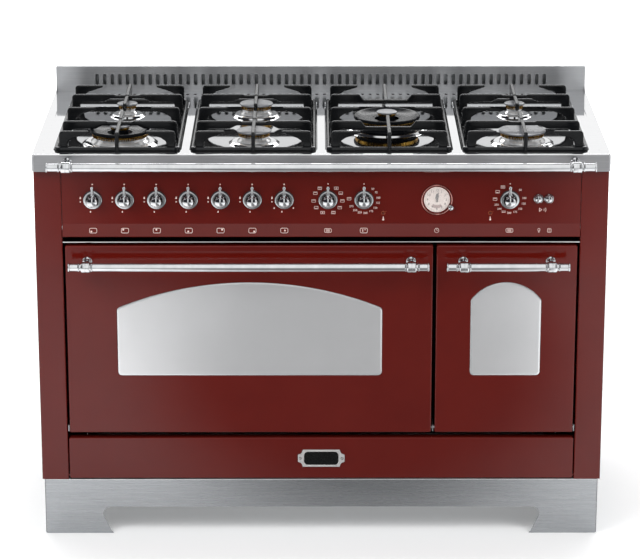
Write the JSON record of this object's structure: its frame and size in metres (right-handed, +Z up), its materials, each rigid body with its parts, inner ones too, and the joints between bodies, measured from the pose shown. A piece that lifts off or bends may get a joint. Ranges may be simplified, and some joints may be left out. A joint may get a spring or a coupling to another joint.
{
  "type": "range cooker",
  "caption": "Free-standing gas range cooker with cast pan supports, two drop-down ovens, a storage flap, pointer knobs, a clock, chrome bar handles and a stainless plinth.",
  "frame": {"origin": "on the floor, at the centre of the outline seen from above", "axes": "+X to the right seen from the front, +Y towards the back, +Z up"},
  "size_m": [1.2, 0.657, 0.907],
  "materials": {
    "burgundy_paint": "glossy enamel",
    "stainless": "brushed",
    "polished_steel": "polished",
    "galvanised_steel": "plain",
    "black_enamel": "glossy enamel",
    "chrome": "polished",
    "cast_iron": "matt enamel",
    "burner_alloy": "satin",
    "brass": "satin",
    "cap_enamel": "satin enamel",
    "mirror_glass": "mirrored",
    "dark_glass": "clear",
    "clear_glass": "clear",
    "dial_cream": "satin",
    "hand_black": "matt",
    "lamp_amber": "clear",
    "black_plastic": "matt"
  },
  "bodies": {
    "cooker": {"side_panel_left": "burgundy_paint", "side_panel_right": "burgundy_paint", "rear_cover": "galvanised_steel", "base_tray": "galvanised_steel", "front_frame": "black_enamel", "plinth": "stainless", "levelling_feet": "black_plastic", "control_panel": "burgundy_paint", "trim_strip": "polished_steel", "hob_top": "stainless", "backsplash": "stainless", "towel_rail": "chrome", "main_cavity": "black_enamel", "small_cavity": "black_enamel", "oven_elements": "stainless", "fan_motor": "galvanised_steel", "oven_racks": "chrome", "storage_box": "galvanised_steel", "gas_rail": "brass", "burner_pipes": "burner_alloy", "oven_switches": "black_plastic", "clock_movement": "dial_cream", "clock_bezel": "chrome", "clock_glass": "clear_glass", "pilot_lenses": "lamp_amber", "knob_rosettes": "chrome", "burner_cups": "burner_alloy", "flame_rings": "brass", "burner_caps": "cap_enamel", "door_hinges": "polished_steel"},
    "main_oven_door": {"main_door": "burgundy_paint", "main_window": "mirror_glass", "main_inner_glass": "dark_glass", "main_handle": "chrome"},
    "small_oven_door": {"small_door": "burgundy_paint", "small_window": "mirror_glass", "small_inner_glass": "dark_glass", "small_handle": "chrome"},
    "flap": {"storage_flap": "burgundy_paint", "badge_plate": "chrome"},
    "burner_knob_1_body": {"burner_knob_1": "chrome"},
    "burner_knob_2_body": {"burner_knob_2": "chrome"},
    "burner_knob_3_body": {"burner_knob_3": "chrome"},
    "burner_knob_4_body": {"burner_knob_4": "chrome"},
    "burner_knob_5_body": {"burner_knob_5": "chrome"},
    "burner_knob_6_body": {"burner_knob_6": "chrome"},
    "burner_knob_7_body": {"burner_knob_7": "chrome"},
    "main_oven_selector_body": {"main_oven_selector": "chrome"},
    "main_oven_thermostat_body": {"main_oven_thermostat": "chrome"},
    "small_oven_knob_body": {"small_oven_knob": "chrome"},
    "hour_hand_body": {"hour_hand": "hand_black"},
    "minute_hand_body": {"minute_hand": "hand_black"},
    "clock_knob_body": {"clock_knob": "chrome"},
    "light_button_body": {"light_button": "chrome"},
    "timer_button_body": {"timer_button": "chrome"},
    "grate_1_body": {"grate_1": "cast_iron"},
    "grate_2_body": {"grate_2": "cast_iron"},
    "grate_3_body": {"grate_3": "cast_iron"},
    "grate_4_body": {"grate_4": "cast_iron"},
    "oven_fan_body": {"oven_fan": "stainless"}
  },
  "joints": [
    {"name": "main_door_hinge", "type": "hinge", "parent": "cooker", "child": "main_oven_door", "pos_m": [-0.15125, -0.2445, 0.2415], "axis": [1, 0, 0], "range_deg": [0, 90]},
    {"name": "small_door_hinge", "type": "hinge", "parent": "cooker", "child": "small_oven_door", "pos_m": [0.3895, -0.2445, 0.2415], "axis": [1, 0, 0], "range_deg": [0, 90]},
    {"name": "flap_hinge", "type": "hinge", "parent": "cooker", "child": "flap", "pos_m": [0, -0.249, 0.135], "axis": [1, 0, 0], "range_deg": [0, 90]},
    {"name": "burner_knob_1_turn", "type": "hinge", "parent": "cooker", "child": "burner_knob_1_body", "pos_m": [-0.477, -0.2665, 0.7475], "axis": [0, -1, 0], "range_deg": [0, 180]},
    {"name": "burner_knob_2_turn", "type": "hinge", "parent": "cooker", "child": "burner_knob_2_body", "pos_m": [-0.4104, -0.2665, 0.7475], "axis": [0, -1, 0], "range_deg": [0, 180]},
    {"name": "burner_knob_3_turn", "type": "hinge", "parent": "cooker", "child": "burner_knob_3_body", "pos_m": [-0.3438, -0.2665, 0.7475], "axis": [0, -1, 0], "range_deg": [0, 180]},
    {"name": "burner_knob_4_turn", "type": "hinge", "parent": "cooker", "child": "burner_knob_4_body", "pos_m": [-0.2772, -0.2665, 0.7475], "axis": [0, -1, 0], "range_deg": [0, 180]},
    {"name": "burner_knob_5_turn", "type": "hinge", "parent": "cooker", "child": "burner_knob_5_body", "pos_m": [-0.2106, -0.2665, 0.7475], "axis": [0, -1, 0], "range_deg": [0, 180]},
    {"name": "burner_knob_6_turn", "type": "hinge", "parent": "cooker", "child": "burner_knob_6_body", "pos_m": [-0.144, -0.2665, 0.7475], "axis": [0, -1, 0], "range_deg": [0, 180]},
    {"name": "burner_knob_7_turn", "type": "hinge", "parent": "cooker", "child": "burner_knob_7_body", "pos_m": [-0.0774, -0.2665, 0.7475], "axis": [0, -1, 0], "range_deg": [0, 180]},
    {"name": "main_oven_selector_turn", "type": "hinge", "parent": "cooker", "child": "main_oven_selector_body", "pos_m": [0.014, -0.2665, 0.7475], "axis": [0, 1, 0], "continuous": true},
    {"name": "main_oven_thermostat_turn", "type": "hinge", "parent": "cooker", "child": "main_oven_thermostat_body", "pos_m": [0.089, -0.2665, 0.7475], "axis": [0, 1, 0], "range_deg": [0, 270]},
    {"name": "small_oven_knob_turn", "type": "hinge", "parent": "cooker", "child": "small_oven_knob_body", "pos_m": [0.3935, -0.2665, 0.7475], "axis": [0, 1, 0], "range_deg": [0, 330]},
    {"name": "minute_hand_turn", "type": "hinge", "parent": "cooker", "child": "minute_hand_body", "pos_m": [0.24125, -0.2528, 0.7475], "axis": [0, 1, 0], "continuous": true},
    {"name": "hour_hand_turn", "type": "hinge", "parent": "cooker", "child": "hour_hand_body", "pos_m": [0.24125, -0.2521, 0.7475], "axis": [0, 1, 0], "continuous": true},
    {"name": "clock_knob_turn", "type": "hinge", "parent": "cooker", "child": "clock_knob_body", "pos_m": [0.27015, -0.2615, 0.732], "axis": [0, 1, 0], "continuous": true},
    {"name": "light_button_press", "type": "slide", "parent": "cooker", "child": "light_button_body", "axis": [0, 1, 0], "range_m": [0, 0.0025], "stiffness_N_per_m": 400, "springref_m": -0.001},
    {"name": "timer_button_press", "type": "slide", "parent": "cooker", "child": "timer_button_body", "axis": [0, 1, 0], "range_m": [0, 0.0025], "stiffness_N_per_m": 400, "springref_m": -0.001},
    {"name": "grate_1_lift", "type": "slide", "parent": "cooker", "child": "grate_1_body", "axis": [0, 0, 1], "range_m": [0, 0.1]},
    {"name": "grate_2_lift", "type": "slide", "parent": "cooker", "child": "grate_2_body", "axis": [0, 0, 1], "range_m": [0, 0.1]},
    {"name": "grate_3_lift", "type": "slide", "parent": "cooker", "child": "grate_3_body", "axis": [0, 0, 1], "range_m": [0, 0.1]},
    {"name": "grate_4_lift", "type": "slide", "parent": "cooker", "child": "grate_4_body", "axis": [0, 0, 1], "range_m": [0, 0.1]},
    {"name": "oven_fan_spin", "type": "hinge", "parent": "cooker", "child": "oven_fan_body", "pos_m": [-0.15125, 0.1985, 0.443], "axis": [0, 1, 0], "continuous": true}
  ],
  "couplings": [
    {"joint": "hour_hand_turn", "follows": "minute_hand_turn", "ratio": 0.083333}
  ]
}
